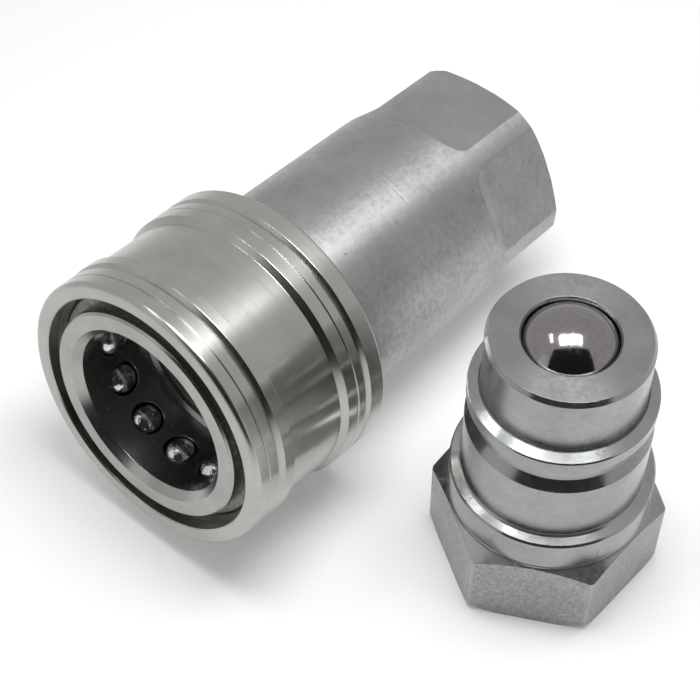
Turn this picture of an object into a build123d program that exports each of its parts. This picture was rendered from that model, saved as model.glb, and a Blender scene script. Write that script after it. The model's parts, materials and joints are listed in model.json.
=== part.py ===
"""Quick disconnect coupler, half-inch hydraulic: a female socket with a pull-back sleeve, and a male plug.

The socket lies on its sleeve and its hexagonal tail, and the plug stands on its port end beside it.
Millimetres. The origin is the middle of the plug's port end, +X runs from the socket's mouth to its tail,
+Z is up, and z = 0 is the surface they rest on.
Turned outlines are written as (along, radius) points: along is measured from the mouth of the socket
towards its tail, or upwards from the port end of the plug.
"""
from build123d import *
from math import atan2, cos, hypot, radians, sin, sqrt
import os

# ---------------------------------------------------------------- driving dimensions: socket
SOCKET_LENGTH = 70.2
BODY_RADIUS = 15.9
NOSE_RADIUS = 15.45
BORE_RADIUS = 12.0               # lead-in land at the mouth
BORE_LAND_END = 4.5
BALL_BORE_RADIUS = 12.2          # relieved bore round the locking balls
BORE_DEPTH = 12.4
SEAL_BORE_RADIUS = 10.35
SEAT_DEPTH = 20.3
FLAT_DISTANCE = 14.45            # axis to each wrench flat, 28.9 mm across flats
FLAT_RUNOUT = 54.4               # where the cutter leaves the round body
FLAT_START = 57.6                # where the flat reaches its full depth
FLATS = 6

SLEEVE_LENGTH = 24.5
SLEEVE_RIM_RADIUS = 19.0
SLEEVE_TRAVEL = 6.0
SLEEVE_BAND_RADIUS = 20.12
SLEEVE_BAND_EDGE = 23.95
SLEEVE_WAIST_RADIUS = 19.28
GUIDE_CLEARANCE = 0.09           # sleeve skirt over the body

LOCK_BALLS = 12
LOCK_BALL_RADIUS = 2.381         # 3/16 inch ball
LOCK_BALL_ALONG = 7.1
LOCK_BALL_OFFSET = 13.435        # ball centre from the axis, sleeve forward
LOCK_BALL_TRAVEL = 0.87
LOCK_HOLE_RADIUS = 2.45
LOCK_LIP_RADIUS = 2.3            # staked edge that keeps the balls out of the bore
LOCK_LIP_HEIGHT = 0.2
LOCK_GAP = 0.03

# ---------------------------------------------------------------- driving dimensions: plug
PLUG_HEIGHT = 43.0
PLUG_NOSE_RADIUS = 10.25
PLUG_COLLAR_RADIUS = 11.85
PLUG_COLLAR_TOP = 33.7
PLUG_GROOVE_TOP = 31.7
PLUG_GROOVE_EDGE = 27.5
PLUG_GROOVE_RADIUS = 10.85
PLUG_GROOVE_RISE = 1.4           # height of the groove's sloping lower flank
PLUG_NOSE_CHAMFER = (0.9, 0.4)   # height and depth of the cone round the nose's top edge
PLUG_FLANGE_TOP = 17.7
PLUG_FLANGE_RADIUS = 13.4
PLUG_HEX_TOP = 12.4
PLUG_ACROSS_FLATS = 27.0
PLUG_CORNER_RADIUS = PLUG_ACROSS_FLATS / 2 / cos(radians(30))
PLUG_HEX_TURN = -2.5             # degrees, first corner from +X

# ---------------------------------------------------------------- driving dimensions: shared
PORT_MINOR_RADIUS = 9.32         # G 1/2 thread, minor diameter 18.63
PORT_MAJOR_RADIUS = 10.6
PORT_CHAMFER = 1.1
PLUG_PORT_CHAMFER = 0.4
PORT_DEPTH = 15.0
HOUSING_RADIUS = 8.8             # counterbore that takes a valve guide and its circlip
GUIDE_RADIUS = 8.7
GUIDE_THICKNESS = 1.6
GUIDE_RIM = 1.7
GUIDE_HUB_RADIUS = 3.5
GUIDE_SPOKE = 2.6
GUIDE_SPOKES = 3
STEM_RADIUS = 2.2
CIRCLIP_RADIUS = 9.4
CIRCLIP_WIDTH = 1.25
CIRCLIP_THICKNESS = 1.0
CIRCLIP_EYE_RADIUS = 1.15
CIRCLIP_EYE_HOLE = 0.55
CIRCLIP_EYE_TURN = 18            # degrees from the middle of the gap to each eye
GROOVE_SLACK = 0.05
VALVE_GAP = 0.03                 # valve ball off its seat, so that the two only just touch

SOCKET_VALVE_RADIUS = 7.94       # 5/8 inch ball
SOCKET_THROAT_RADIUS = 6.6
SOCKET_CHAMBER_RADIUS = 8.35
SOCKET_VALVE_TRAVEL = 4.5
SOCKET_GUIDE_ALONG = 48.05

PLUG_VALVE_RADIUS = 7.145        # 9/16 inch ball
PLUG_VALVE_PROUD = 2.44          # how far the ball stands out of the nose
PLUG_THROAT_RADIUS = 6.16
PLUG_CHAMBER_RADIUS = 7.5
PLUG_VALVE_TRAVEL = 3.5
PLUG_GUIDE_TOP = 20.4

# ---------------------------------------------------------------- how the two halves stand
# The plug's axis is the origin. The socket rests on the rear band of its sleeve and on the end of its
# lowest wrench flat.
MOUTH_PLACE = (-31.55, 42.07)
TILT = atan2(SLEEVE_BAND_RADIUS - FLAT_DISTANCE, SOCKET_LENGTH - SLEEVE_BAND_EDGE)
MOUTH_HEIGHT = SLEEVE_BAND_RADIUS * cos(TILT) + SLEEVE_BAND_EDGE * sin(TILT)
MOUTH = Vector(*MOUTH_PLACE, MOUTH_HEIGHT)
PLUG_BASE = Vector(0, 0, 0)

REARWARD = Vector(cos(TILT), 0, -sin(TILT))
OVERHEAD = Vector(sin(TILT), 0, cos(TILT))
SIDEWAYS = Vector(0, 1, 0)
UP = Vector(0, 0, 1)

SOCKET_AXIS = Axis(MOUTH, REARWARD)
PLUG_AXIS = Axis(PLUG_BASE, UP)
SOCKET_OUTLINE = Plane(origin=MOUTH, x_dir=REARWARD, z_dir=REARWARD.cross(OVERHEAD))
PLUG_OUTLINE = Plane(origin=PLUG_BASE, x_dir=UP, z_dir=UP.cross(Vector(1, 0, 0)))
SOCKET_SECTION = Plane(origin=MOUTH, x_dir=SIDEWAYS, z_dir=REARWARD)
PLUG_SECTION = Plane(origin=PLUG_BASE, x_dir=(1, 0, 0), z_dir=UP)

os.makedirs("parts", exist_ok=True)


def save(part, name):
    """Label a finished piece and write it."""
    part.label = name
    export_step(part, f"parts/{name}.step")


def outline(plane, points):
    """A closed face on an outline plane, from its (along, radius) points."""
    with BuildSketch(plane) as face:
        with BuildLine():
            Polyline(*points, close=True)
        make_face()
    return face.sketch


def seat_depth(ball_radius, throat_radius):
    """Distance from a throat's edge to the centre of the ball that closes it."""
    return sqrt(ball_radius**2 - throat_radius**2)


def seat_run(ball_radius, throat_radius, chamber_radius):
    """Length of the seat's cone, tangent to the ball, from its throat to the chamber wall."""
    return (chamber_radius - throat_radius) * throat_radius / seat_depth(ball_radius, throat_radius)


def guide_faces(plane, start, height):
    """Hub, rim and three spokes of a valve guide, extruded inside the current part."""
    with BuildSketch(plane.offset(start)) as face:
        Circle(GUIDE_RADIUS)
        Circle(GUIDE_RADIUS - GUIDE_RIM, mode=Mode.SUBTRACT)
        Circle(GUIDE_HUB_RADIUS)
        with PolarLocations(GUIDE_RADIUS / 2, GUIDE_SPOKES):
            Rectangle(GUIDE_RADIUS - GUIDE_RIM, GUIDE_SPOKE)
    return extrude(face.sketch, amount=height, mode=Mode.PRIVATE)


def circlip(plane, start):
    """Internal circlip: an open ring with two eyes for the pliers."""
    eye_place = CIRCLIP_RADIUS - 1.95
    gap = 2 * eye_place * sin(radians(CIRCLIP_EYE_TURN)) - 1.6 * CIRCLIP_EYE_RADIUS
    first_eye = 90 - CIRCLIP_EYE_TURN
    eyes = PolarLocations(eye_place, 2, first_eye, 2 * CIRCLIP_EYE_TURN, endpoint=True)
    with BuildSketch(plane.offset(start)) as face:
        Circle(CIRCLIP_RADIUS)
        Circle(CIRCLIP_RADIUS - CIRCLIP_WIDTH, mode=Mode.SUBTRACT)
        with eyes:
            Circle(CIRCLIP_EYE_RADIUS)
        with Locations((0, CIRCLIP_RADIUS)):
            Rectangle(gap, 6, mode=Mode.SUBTRACT)
        with eyes:
            Circle(CIRCLIP_EYE_HOLE, mode=Mode.SUBTRACT)
    return extrude(face.sketch, amount=CIRCLIP_THICKNESS, mode=Mode.PRIVATE)


def coil(plane, start, length, mean_radius, wire_radius, turns):
    """A compression spring between start and start + length, its axis along the plane's normal."""
    rise = length - 2 * wire_radius
    foot = plane.offset(start + wire_radius)
    with BuildPart(mode=Mode.PRIVATE) as spring:
        with BuildLine():
            path = Helix(rise / turns, rise, mean_radius, center=foot.origin, direction=foot.z_dir)
        with BuildSketch(Plane(origin=path @ 0, z_dir=path % 0)):
            Circle(wire_radius)
        sweep(path=path)
    return spring.part


def outward(number, count):
    """Unit vector from the socket's axis to one of a ring of features, the first of them overhead."""
    turn = radians(360 / count * number)
    return OVERHEAD * cos(turn) + SIDEWAYS * sin(turn)


# ---------------------------------------------------------------- socket body
CHAMBER_START = SEAT_DEPTH + seat_run(SOCKET_VALVE_RADIUS, SOCKET_THROAT_RADIUS, SOCKET_CHAMBER_RADIUS)
PORT_START = SOCKET_LENGTH - PORT_DEPTH
SPRING_SEAT = 21.9               # shoulder behind the sleeve spring
SPRING_POST_RADIUS = 14.4
NOSE_LENGTH = 10.3
STOP_GROOVE = (2.75, 4.1)
STOP_GROOVE_RADIUS = 14.5
SEAL_GROOVE = (15.2, 18.3)
SEAL_GROOVE_RADIUS = 12.05
CLIP_GROOVE_START = SOCKET_GUIDE_ALONG + GUIDE_THICKNESS
CLIP_GROOVE_END = CLIP_GROOVE_START + CIRCLIP_THICKNESS + 2 * GROOVE_SLACK
CLIP_GROOVE_RADIUS = CIRCLIP_RADIUS + 0.1

with BuildPart() as socket_body:
    revolve(
        outline(
            SOCKET_OUTLINE,
            [
                (0, 13.05), (0, NOSE_RADIUS - 0.3), (0.3, NOSE_RADIUS),
                (STOP_GROOVE[0], NOSE_RADIUS), (STOP_GROOVE[0], STOP_GROOVE_RADIUS),
                (STOP_GROOVE[1], STOP_GROOVE_RADIUS), (STOP_GROOVE[1], NOSE_RADIUS),
                (NOSE_LENGTH, NOSE_RADIUS), (NOSE_LENGTH, SPRING_POST_RADIUS),
                (SPRING_SEAT, SPRING_POST_RADIUS), (SPRING_SEAT, BODY_RADIUS),
                (SOCKET_LENGTH - 0.8, BODY_RADIUS), (SOCKET_LENGTH, FLAT_DISTANCE + 0.1),
                (SOCKET_LENGTH, PORT_MAJOR_RADIUS), (SOCKET_LENGTH - PORT_CHAMFER, PORT_MINOR_RADIUS),
                (PORT_START, PORT_MINOR_RADIUS), (PORT_START - 0.5, HOUSING_RADIUS),
                (CLIP_GROOVE_END, HOUSING_RADIUS), (CLIP_GROOVE_END, CLIP_GROOVE_RADIUS),
                (CLIP_GROOVE_START, CLIP_GROOVE_RADIUS), (CLIP_GROOVE_START, HOUSING_RADIUS),
                (SOCKET_GUIDE_ALONG - GROOVE_SLACK, HOUSING_RADIUS),
                (SOCKET_GUIDE_ALONG - GROOVE_SLACK, SOCKET_CHAMBER_RADIUS),
                (CHAMBER_START, SOCKET_CHAMBER_RADIUS), (SEAT_DEPTH, SOCKET_THROAT_RADIUS),
                (SEAT_DEPTH, SEAL_BORE_RADIUS), (SEAL_GROOVE[1], SEAL_BORE_RADIUS),
                (SEAL_GROOVE[1], SEAL_GROOVE_RADIUS), (SEAL_GROOVE[0], SEAL_GROOVE_RADIUS),
                (SEAL_GROOVE[0], SEAL_BORE_RADIUS), (BORE_DEPTH + 0.4, SEAL_BORE_RADIUS),
                (BORE_DEPTH + 0.4, BALL_BORE_RADIUS - 0.65), (BORE_DEPTH, BALL_BORE_RADIUS),
                (BORE_LAND_END + 0.1, BALL_BORE_RADIUS), (BORE_LAND_END, BORE_RADIUS), (1.1, BORE_RADIUS),
            ],
        ),
        axis=SOCKET_AXIS,
    )
    for number in range(LOCK_BALLS):
        spoke = outward(number, LOCK_BALLS)
        station = MOUTH + REARWARD * LOCK_BALL_ALONG
        with BuildSketch(Plane(origin=station + spoke * (BALL_BORE_RADIUS - 1.5), z_dir=spoke)):
            Circle(LOCK_LIP_RADIUS)
        extrude(amount=5.5, mode=Mode.SUBTRACT)
        lip_top = station + spoke * (BALL_BORE_RADIUS + LOCK_LIP_HEIGHT)
        with BuildSketch(Plane(origin=lip_top, z_dir=spoke)):
            Circle(LOCK_HOLE_RADIUS)
        extrude(amount=4, mode=Mode.SUBTRACT)
    for number in range(FLATS):
        flat_side = REARWARD.cross(outward(number, FLATS))
        with BuildSketch(Plane(origin=MOUTH, x_dir=REARWARD, z_dir=flat_side)):
            with BuildLine():
                runout = TangentArc(
                    (FLAT_START, FLAT_DISTANCE), (FLAT_RUNOUT, BODY_RADIUS + 0.02), tangent=(-1, 0)
                )
                Polyline(
                    runout @ 1,
                    (FLAT_RUNOUT, BODY_RADIUS + 3),
                    (SOCKET_LENGTH + 2, BODY_RADIUS + 3),
                    (SOCKET_LENGTH + 2, FLAT_DISTANCE),
                    runout @ 0,
                )
            make_face()
        extrude(amount=BODY_RADIUS, both=True, mode=Mode.SUBTRACT)
save(socket_body.part, "socket_body")

# ---------------------------------------------------------------- release sleeve
# The inside opens forwards over the balls as a cone: its slope is the balls' travel over the sleeve's.
RELEASE_SLOPE = LOCK_BALL_TRAVEL / SLEEVE_TRAVEL
LOCK_LAND_RADIUS = LOCK_BALL_OFFSET + (LOCK_BALL_RADIUS + LOCK_GAP) * hypot(1, RELEASE_SLOPE)
SLEEVE_STOP_FACE = 4.12
SLEEVE_POCKET_RADIUS = 16.8
SLEEVE_SHOULDER = 10.4
SLEEVE_CHAMBER_RADIUS = 16.3
SLEEVE_SKIRT = 21.6
SKIRT_RADIUS = BODY_RADIUS + GUIDE_CLEARANCE
FRONT_BAND_RADIUS = 19.74
GRIP_BAND_RADIUS = 19.87
LAND_END = LOCK_BALL_ALONG + 0.6


def land_radius(along):
    """Radius of the sleeve's release cone."""
    return LOCK_LAND_RADIUS + RELEASE_SLOPE * (LOCK_BALL_ALONG - along)


with BuildPart() as release_sleeve:
    with BuildSketch(SOCKET_OUTLINE) as sleeve_outline:
        with BuildLine():
            Polyline(
                # outside: front band, scribed line, grip groove, waist, rear bands and grip groove
                (0, FRONT_BAND_RADIUS), (2.15, FRONT_BAND_RADIUS), (2.25, FRONT_BAND_RADIUS - 0.12),
                (2.35, FRONT_BAND_RADIUS), (3.85, FRONT_BAND_RADIUS), (4.05, FRONT_BAND_RADIUS - 0.62),
                (4.95, GRIP_BAND_RADIUS), (6.7, GRIP_BAND_RADIUS), (6.95, SLEEVE_WAIST_RADIUS),
                (16.35, SLEEVE_WAIST_RADIUS), (17.1, 20.05), (18.9, 20.05), (19.02, 19.9), (19.14, 20.08),
                (20.5, 20.08), (20.7, 19.4), (21.5, SLEEVE_BAND_RADIUS),
                (SLEEVE_BAND_EDGE, SLEEVE_BAND_RADIUS), (SLEEVE_LENGTH, SLEEVE_BAND_RADIUS - 0.5),
                # inside: skirt on the body, spring chamber, ball land, release cone, stop and mouth
                (SLEEVE_LENGTH, SKIRT_RADIUS + 0.25), (SLEEVE_LENGTH - 0.25, SKIRT_RADIUS),
                (SLEEVE_SKIRT, SKIRT_RADIUS), (SLEEVE_SKIRT - 0.3, SLEEVE_CHAMBER_RADIUS),
                (SLEEVE_SHOULDER, SLEEVE_CHAMBER_RADIUS), (SLEEVE_SHOULDER, land_radius(LAND_END)),
                (LAND_END, land_radius(LAND_END)), (SLEEVE_STOP_FACE, land_radius(SLEEVE_STOP_FACE)),
                (SLEEVE_STOP_FACE, SLEEVE_POCKET_RADIUS), (2.9, SLEEVE_POCKET_RADIUS), (1.9, 17.35),
                (0.2, 17.4), (0, 17.6),
                close=True,
            )
        make_face()
        rim_corner = sleeve_outline.vertices().sort_by_distance((0, FRONT_BAND_RADIUS))[0]
        fillet(rim_corner, radius=FRONT_BAND_RADIUS - SLEEVE_RIM_RADIUS)
    revolve(axis=SOCKET_AXIS)
save(release_sleeve.part, "release_sleeve")

# ---------------------------------------------------------------- stop ring in the nose groove
STOP_RING_RADIUS = 16.6
STOP_RING_GAP = 3.2
STOP_RING_START = STOP_GROOVE[0] + GROOVE_SLACK
STOP_RING_THICKNESS = STOP_GROOVE[1] - STOP_GROOVE[0] - 2 * GROOVE_SLACK

with BuildPart() as sleeve_stop_ring:
    with BuildSketch(SOCKET_SECTION.offset(STOP_RING_START)):
        Circle(STOP_RING_RADIUS)
        Circle(STOP_GROOVE_RADIUS + 0.15, mode=Mode.SUBTRACT)
        with PolarLocations(STOP_RING_RADIUS, 1, start_angle=-38):
            Rectangle(6, STOP_RING_GAP, mode=Mode.SUBTRACT)
    extrude(amount=STOP_RING_THICKNESS)
save(sleeve_stop_ring.part, "sleeve_stop_ring")

# ---------------------------------------------------------------- sleeve spring
SLEEVE_SPRING_START = SLEEVE_SHOULDER + 0.05
SLEEVE_SPRING_LENGTH = SPRING_SEAT - GROOVE_SLACK - SLEEVE_SPRING_START

with BuildPart() as sleeve_spring:
    add(coil(SOCKET_SECTION, SLEEVE_SPRING_START, SLEEVE_SPRING_LENGTH, 15.35, 0.72, 3.25))
save(sleeve_spring.part, "sleeve_spring")

# ---------------------------------------------------------------- locking balls
for number in range(LOCK_BALLS):
    centre = MOUTH + REARWARD * LOCK_BALL_ALONG + outward(number, LOCK_BALLS) * LOCK_BALL_OFFSET
    with BuildPart() as locking_ball:
        with Locations(centre):
            Sphere(LOCK_BALL_RADIUS)
    save(locking_ball.part, f"locking_ball_{number + 1:02d}")

# ---------------------------------------------------------------- nose seal and its backup ring
SEAL_WIRE_RADIUS = 0.95
SEAL_INNER_RADIUS = PLUG_NOSE_RADIUS - 0.1
SEAL_ALONG = SEAL_GROOVE[0] + SEAL_WIRE_RADIUS + GROOVE_SLACK

with BuildPart() as nose_seal:
    with BuildSketch(SOCKET_OUTLINE):
        with Locations((SEAL_ALONG, SEAL_INNER_RADIUS + SEAL_WIRE_RADIUS)):
            Circle(SEAL_WIRE_RADIUS)
    revolve(axis=SOCKET_AXIS)
save(nose_seal.part, "nose_seal")

with BuildPart() as nose_backup_ring:
    backup_start = SEAL_GROOVE[1] - GROOVE_SLACK - 1.0
    with BuildSketch(SOCKET_SECTION.offset(backup_start)):
        Circle(SEAL_GROOVE_RADIUS - GROOVE_SLACK)
        Circle(SEAL_BORE_RADIUS + GROOVE_SLACK, mode=Mode.SUBTRACT)
    extrude(amount=1.0)
save(nose_backup_ring.part, "nose_backup_ring")

# ---------------------------------------------------------------- socket valve
SOCKET_VALVE_ALONG = SEAT_DEPTH + seat_depth(SOCKET_VALVE_RADIUS, SOCKET_THROAT_RADIUS) + VALVE_GAP
SOCKET_STEM_TIP = SOCKET_VALVE_ALONG + SOCKET_VALVE_RADIUS + SOCKET_VALVE_TRAVEL + GROOVE_SLACK
SOCKET_COIL_RADIUS = 5.3
SOCKET_WIRE_RADIUS = 0.65

with BuildPart() as socket_valve_ball:
    with Locations(MOUTH + REARWARD * SOCKET_VALVE_ALONG):
        Sphere(SOCKET_VALVE_RADIUS)
save(socket_valve_ball.part, "socket_valve_ball")

with BuildPart() as socket_valve_guide:
    add(guide_faces(SOCKET_SECTION, SOCKET_GUIDE_ALONG, GUIDE_THICKNESS))
    with BuildSketch(SOCKET_SECTION.offset(SOCKET_STEM_TIP)):
        Circle(STEM_RADIUS)
    extrude(amount=SOCKET_GUIDE_ALONG - SOCKET_STEM_TIP + GUIDE_THICKNESS)
save(socket_valve_guide.part, "socket_valve_guide")

socket_coil_start = SOCKET_VALVE_ALONG - SOCKET_WIRE_RADIUS + sqrt(
    (SOCKET_VALVE_RADIUS + SOCKET_WIRE_RADIUS + 0.1) ** 2 - SOCKET_COIL_RADIUS**2
)
with BuildPart() as socket_valve_spring:
    add(
        coil(
            SOCKET_SECTION,
            socket_coil_start,
            SOCKET_GUIDE_ALONG - GROOVE_SLACK - socket_coil_start,
            SOCKET_COIL_RADIUS,
            SOCKET_WIRE_RADIUS,
            6.5,
        )
    )
save(socket_valve_spring.part, "socket_valve_spring")

with BuildPart() as socket_circlip:
    add(circlip(SOCKET_SECTION, CLIP_GROOVE_START + GROOVE_SLACK))
save(socket_circlip.part, "socket_circlip")

# ---------------------------------------------------------------- plug body
PLUG_SEATED_HEIGHT = PLUG_HEIGHT + PLUG_VALVE_PROUD - PLUG_VALVE_RADIUS
PLUG_THROAT_HEIGHT = PLUG_SEATED_HEIGHT + seat_depth(PLUG_VALVE_RADIUS, PLUG_THROAT_RADIUS)
PLUG_CHAMBER_TOP = PLUG_THROAT_HEIGHT - seat_run(PLUG_VALVE_RADIUS, PLUG_THROAT_RADIUS, PLUG_CHAMBER_RADIUS)
PLUG_CLIP_TOP = PLUG_GUIDE_TOP - GUIDE_THICKNESS
PLUG_CLIP_BOTTOM = PLUG_CLIP_TOP - CIRCLIP_THICKNESS - 2 * GROOVE_SLACK
HEX_CHAMFER_DROP = (PLUG_CORNER_RADIUS - PLUG_FLANGE_RADIUS) * sin(radians(30)) / cos(radians(30))

with BuildPart() as plug_body:
    with BuildSketch(PLUG_SECTION):
        RegularPolygon(PLUG_CORNER_RADIUS, 6, rotation=PLUG_HEX_TURN)
    extrude(amount=PLUG_HEX_TOP)
    # the hexagon's corners are turned off at 30 degrees above and broken below
    revolve(
        outline(
            PLUG_OUTLINE,
            [
                (0, 14.2), (0.8, PLUG_CORNER_RADIUS - 0.15),
                (PLUG_HEX_TOP - HEX_CHAMFER_DROP, PLUG_CORNER_RADIUS - 0.15),
                (PLUG_HEX_TOP - 0.08, PLUG_FLANGE_RADIUS), (PLUG_HEX_TOP, 0), (0, 0),
            ],
        ),
        axis=PLUG_AXIS,
        mode=Mode.INTERSECT,
    )
    # flange, cylinder, locking groove, collar and nose
    revolve(
        outline(
            PLUG_OUTLINE,
            [
                (1, 0), (PLUG_HEX_TOP - 1, PLUG_FLANGE_RADIUS - 0.8),
                (PLUG_HEX_TOP, PLUG_FLANGE_RADIUS - 0.1),
                (PLUG_FLANGE_TOP - 0.25, PLUG_FLANGE_RADIUS - 0.1),
                (PLUG_FLANGE_TOP, PLUG_FLANGE_RADIUS - 0.35),
                (PLUG_FLANGE_TOP + 0.35, PLUG_COLLAR_RADIUS + 0.35),
                (PLUG_FLANGE_TOP + 0.7, PLUG_COLLAR_RADIUS), (PLUG_GROOVE_EDGE, PLUG_COLLAR_RADIUS),
                (PLUG_GROOVE_EDGE + PLUG_GROOVE_RISE, PLUG_GROOVE_RADIUS),
                (PLUG_GROOVE_TOP - 0.5, PLUG_GROOVE_RADIUS), (PLUG_GROOVE_TOP, PLUG_COLLAR_RADIUS),
                (PLUG_COLLAR_TOP - 0.3, PLUG_COLLAR_RADIUS), (PLUG_COLLAR_TOP, PLUG_COLLAR_RADIUS - 0.7),
                (PLUG_COLLAR_TOP, PLUG_NOSE_RADIUS + 0.2), (PLUG_COLLAR_TOP + 0.2, PLUG_NOSE_RADIUS),
                (PLUG_HEIGHT - PLUG_NOSE_CHAMFER[0], PLUG_NOSE_RADIUS),
                (PLUG_HEIGHT, PLUG_NOSE_RADIUS - PLUG_NOSE_CHAMFER[1]), (PLUG_HEIGHT, 0),
            ],
        ),
        axis=PLUG_AXIS,
    )
    # port, valve housing, chamber, seat and lip
    revolve(
        outline(
            PLUG_OUTLINE,
            [
                (0, 0), (0, PORT_MINOR_RADIUS + PLUG_PORT_CHAMFER), (PLUG_PORT_CHAMFER, PORT_MINOR_RADIUS),
                (PORT_DEPTH, PORT_MINOR_RADIUS), (PORT_DEPTH + 0.5, HOUSING_RADIUS),
                (PLUG_CLIP_BOTTOM, HOUSING_RADIUS), (PLUG_CLIP_BOTTOM, CLIP_GROOVE_RADIUS),
                (PLUG_CLIP_TOP, CLIP_GROOVE_RADIUS), (PLUG_CLIP_TOP, HOUSING_RADIUS),
                (PLUG_GUIDE_TOP + GROOVE_SLACK, HOUSING_RADIUS),
                (PLUG_GUIDE_TOP + GROOVE_SLACK, PLUG_CHAMBER_RADIUS),
                (PLUG_CHAMBER_TOP, PLUG_CHAMBER_RADIUS), (PLUG_THROAT_HEIGHT, PLUG_THROAT_RADIUS),
                (PLUG_HEIGHT - 0.12, PLUG_THROAT_RADIUS), (PLUG_HEIGHT, PLUG_THROAT_RADIUS + 0.12),
                (PLUG_HEIGHT, 0),
            ],
        ),
        axis=PLUG_AXIS,
        mode=Mode.SUBTRACT,
    )
save(plug_body.part, "plug_body")

# ---------------------------------------------------------------- plug valve
PLUG_VALVE_HEIGHT = PLUG_SEATED_HEIGHT - VALVE_GAP
PLUG_STEM_TIP = PLUG_VALVE_HEIGHT - PLUG_VALVE_RADIUS - PLUG_VALVE_TRAVEL - GROOVE_SLACK
PLUG_COIL_RADIUS = 4.9
PLUG_WIRE_RADIUS = 0.6

with BuildPart() as plug_valve_ball:
    with Locations(PLUG_BASE + UP * PLUG_VALVE_HEIGHT):
        Sphere(PLUG_VALVE_RADIUS)
save(plug_valve_ball.part, "plug_valve_ball")

with BuildPart() as plug_valve_guide:
    add(guide_faces(PLUG_SECTION, PLUG_GUIDE_TOP - GUIDE_THICKNESS, GUIDE_THICKNESS))
    with BuildSketch(PLUG_SECTION.offset(PLUG_GUIDE_TOP - GUIDE_THICKNESS)):
        Circle(STEM_RADIUS)
    extrude(amount=PLUG_STEM_TIP - PLUG_GUIDE_TOP + GUIDE_THICKNESS)
save(plug_valve_guide.part, "plug_valve_guide")

plug_coil_top = PLUG_VALVE_HEIGHT + PLUG_WIRE_RADIUS - sqrt(
    (PLUG_VALVE_RADIUS + PLUG_WIRE_RADIUS + 0.1) ** 2 - PLUG_COIL_RADIUS**2
)
with BuildPart() as plug_valve_spring:
    add(
        coil(
            PLUG_SECTION,
            PLUG_GUIDE_TOP + GROOVE_SLACK,
            plug_coil_top - PLUG_GUIDE_TOP - GROOVE_SLACK,
            PLUG_COIL_RADIUS,
            PLUG_WIRE_RADIUS,
            5.5,
        )
    )
save(plug_valve_spring.part, "plug_valve_spring")

with BuildPart() as plug_circlip:
    add(circlip(PLUG_SECTION, PLUG_CLIP_BOTTOM + GROOVE_SLACK))
save(plug_circlip.part, "plug_circlip")
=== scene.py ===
"""Looks for the half-inch hydraulic quick disconnect coupler: a socket lying beside its plug.

Outlines are in millimetres. The socket's are (along, radius, corner) from its mouth to its tail, and the
plug's are (height, radius, corner) from its port end up, where corner is the radius that breaks the edge.
"""
import json
from math import acos, asin, atan, ceil, cos, hypot, pi, radians, sin, sqrt, tan

import bpy
from mathutils import Matrix, Vector


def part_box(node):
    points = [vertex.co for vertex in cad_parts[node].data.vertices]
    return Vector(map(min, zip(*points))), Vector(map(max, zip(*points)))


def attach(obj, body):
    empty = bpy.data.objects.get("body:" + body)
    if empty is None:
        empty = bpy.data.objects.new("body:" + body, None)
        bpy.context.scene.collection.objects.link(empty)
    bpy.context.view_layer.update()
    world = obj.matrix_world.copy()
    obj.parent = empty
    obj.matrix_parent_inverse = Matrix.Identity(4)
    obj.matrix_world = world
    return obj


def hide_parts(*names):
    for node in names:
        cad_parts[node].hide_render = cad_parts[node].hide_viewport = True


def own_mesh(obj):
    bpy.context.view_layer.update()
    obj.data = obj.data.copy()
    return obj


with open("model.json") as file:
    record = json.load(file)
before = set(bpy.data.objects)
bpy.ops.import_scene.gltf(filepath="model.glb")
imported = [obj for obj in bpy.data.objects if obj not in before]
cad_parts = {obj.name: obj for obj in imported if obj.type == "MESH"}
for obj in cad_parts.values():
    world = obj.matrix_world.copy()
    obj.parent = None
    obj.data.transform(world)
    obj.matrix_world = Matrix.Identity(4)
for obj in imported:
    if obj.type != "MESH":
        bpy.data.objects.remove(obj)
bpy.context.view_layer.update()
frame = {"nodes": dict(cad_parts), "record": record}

MM = 0.001

# ---------------------------------------------------------------- places from the frame
MOUNTS = {mount["name"]: mount for mount in frame["record"]["mounts"]}
BORE_MOUNT_DEPTH = 2.8
REARWARD = -Vector(MOUNTS["coupling_bore"]["axis"])
MOUTH = Vector(MOUNTS["coupling_bore"]["pos_m"]) - REARWARD * BORE_MOUNT_DEPTH * MM
SIDEWAYS = Vector((0, 1, 0))
OVERHEAD = REARWARD.cross(SIDEWAYS)
SOCKET_FRAME = (MOUTH, REARWARD, OVERHEAD, SIDEWAYS)
PLUG_FRAME = (Vector((0, 0, 0)), Vector((0, 0, 1)), Vector((1, 0, 0)), Vector((0, 1, 0)))
BALL_COUNT = 12
FLAT_COUNT = 6          # on each half
EVERYWHERE = (Vector((0, 0, 0)), Vector((1, 0, 0)))     # origin and axis of a finish with no grain


# ---------------------------------------------------------------- mesh tools
BEND_STEPS = 4          # chords in a right-angled corner
TURN_STEPS = 256        # steps round a turned surface
FINE_STEPS = 288        # steps round one that meets flats
EDGE_SOFTNESS = 0.45    # degrees of turn over which a flat's edge is softened
HOLE_STEPS = 64         # steps round a hole


def point(place, along, radius, turn):
    """A point in metres from (along, radius, turn) about a turning axis."""
    origin, axis, first, second = place
    radial = first * cos(turn) + second * sin(turn)
    return origin + (axis * along + radial * radius) * MM


def slant(place, along, radial, turn):
    """A unit normal from its parts along and away from a turning axis."""
    _, axis, first, second = place
    return (axis * along + (first * cos(turn) + second * sin(turn)) * radial).normalized()


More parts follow.
